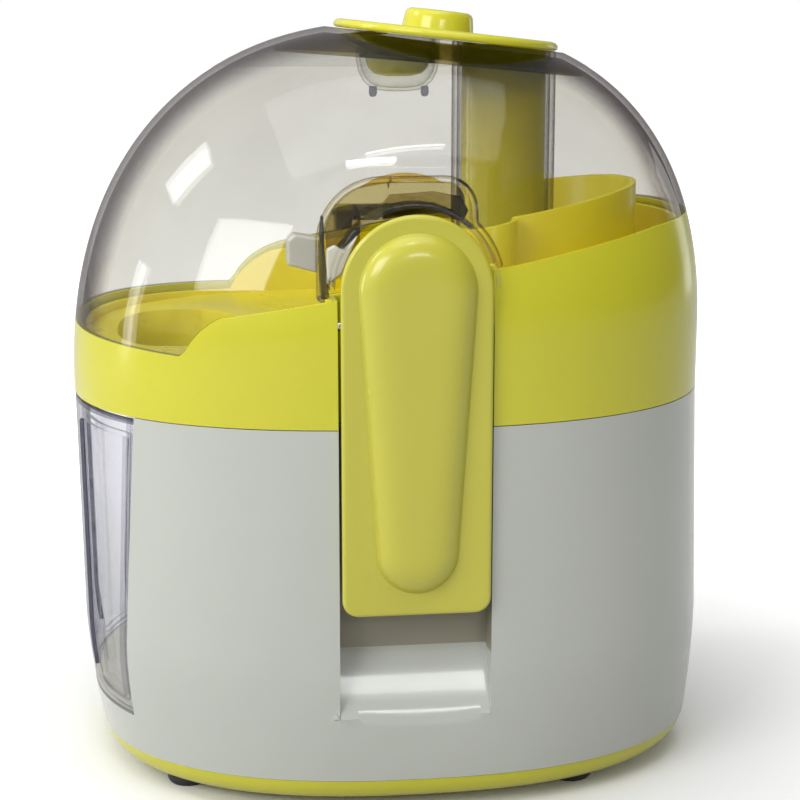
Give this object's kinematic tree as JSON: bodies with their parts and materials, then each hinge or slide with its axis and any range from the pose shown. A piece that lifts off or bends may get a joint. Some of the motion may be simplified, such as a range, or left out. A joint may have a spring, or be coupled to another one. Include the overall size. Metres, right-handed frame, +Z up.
{
  "type": "centrifugal juicer",
  "caption": "Oval centrifugal juicer: white motor housing, sloping yellow collar, clear hinged dome with feed tube and pusher, rocking front latch, spinning strainer basket and slide-out pulp container.",
  "frame": {"origin": "on the surface the feet stand on, below the middle of the oval body", "axes": "+Z up, -Y towards the front latch, -X towards the pulp container, +X towards the juice spout"},
  "size_m": [0.2547, 0.223, 0.3019],
  "materials": {
    "yellow_plastic": "glossy moulded",
    "white_plastic": "glossy moulded",
    "clear_plastic": "clear polystyrene, glossy",
    "smoke_plastic": "clear tinted, glossy",
    "steel": "bright",
    "iron": "dull lacquered laminations",
    "copper": "enamelled copper wire",
    "brass": "bright",
    "carbon": "graphite",
    "rubber": "dull",
    "black_plastic": "satin"
  },
  "bodies": {
    "base": {"motor_housing": "white_plastic", "base_pan": "yellow_plastic", "foot_front_left": "rubber", "foot_rear_left": "rubber", "foot_front_right": "rubber", "foot_rear_right": "rubber", "base_screw_front_left": "steel", "base_screw_rear_left": "steel", "base_screw_front_right": "steel", "base_screw_rear_right": "steel", "collar": "yellow_plastic", "collector": "yellow_plastic", "shaft_seal": "rubber", "upper_bearing": "steel", "lower_bearing": "steel", "upper_bracket": "iron", "lower_bracket": "iron", "stator_core": "iron", "field_coil_front": "copper", "field_coil_rear": "copper", "brush_front": "carbon", "brush_holder_front": "brass", "brush_rear": "carbon", "brush_holder_rear": "brass", "motor_bolt_1": "steel", "motor_bolt_2": "steel", "motor_grommet_1": "rubber", "motor_grommet_2": "rubber", "motor_grommet_3": "rubber", "motor_grommet_4": "rubber", "speed_switch": "black_plastic", "cord_gland": "rubber", "latch_pin": "steel", "hinge_pin": "steel", "interlock_spring": "steel", "interlock_switch": "black_plastic"},
    "lid": {"lid_dome": "clear_plastic"},
    "pusher": {"pusher_stem": "yellow_plastic", "pusher_cap": "yellow_plastic"},
    "latch": {"front_latch": "yellow_plastic"},
    "plunger": {"interlock_plunger": "black_plastic"},
    "rotor": {"motor_shaft": "steel", "rotor_core": "iron", "rotor_winding": "copper", "commutator": "copper", "cooling_fan": "black_plastic", "drive_coupling": "black_plastic", "basket_hub": "white_plastic", "grater_disc": "steel", "filter_cone": "steel", "basket_rim": "white_plastic"},
    "container": {"pulp_container": "smoke_plastic"},
    "knob": {"speed_knob": "yellow_plastic", "switch_spindle": "black_plastic"}
  },
  "joints": [
    {"name": "lid_tilt", "type": "hinge", "parent": "base", "child": "lid", "pos_m": [0.014, 0.1076, 0.208], "axis": [-1, 0, 0], "range_deg": [0, 75]},
    {"name": "pusher_lift", "type": "slide", "parent": "lid", "child": "pusher", "axis": [0, 0, 1], "range_m": [0, 0.1]},
    {"name": "front_latch_swing", "type": "hinge", "parent": "base", "child": "latch", "pos_m": [0, -0.098, 0.19], "axis": [-1, 0, 0], "range_deg": [0, 14]},
    {"name": "interlock_press", "type": "slide", "parent": "base", "child": "plunger", "axis": [0, -1, 0], "range_m": [0, 0.003]},
    {"name": "rotor_spin", "type": "hinge", "parent": "base", "child": "rotor", "pos_m": [0.047, 0, 0.1], "axis": [0, 0, 1], "continuous": true},
    {"name": "container_pull", "type": "slide", "parent": "base", "child": "container", "axis": [-1, 0, 0], "range_m": [0, 0.11]},
    {"name": "speed_knob_turn", "type": "hinge", "parent": "base", "child": "knob", "pos_m": [0.075, 0.09041, 0.095], "axis": [0.4091, 0.9125, 0], "range_deg": [0, 120]}
  ],
  "couplings": [
    {"joint": "interlock_press", "follows": "front_latch_swing", "m_per_rad": 0.012}
  ]
}
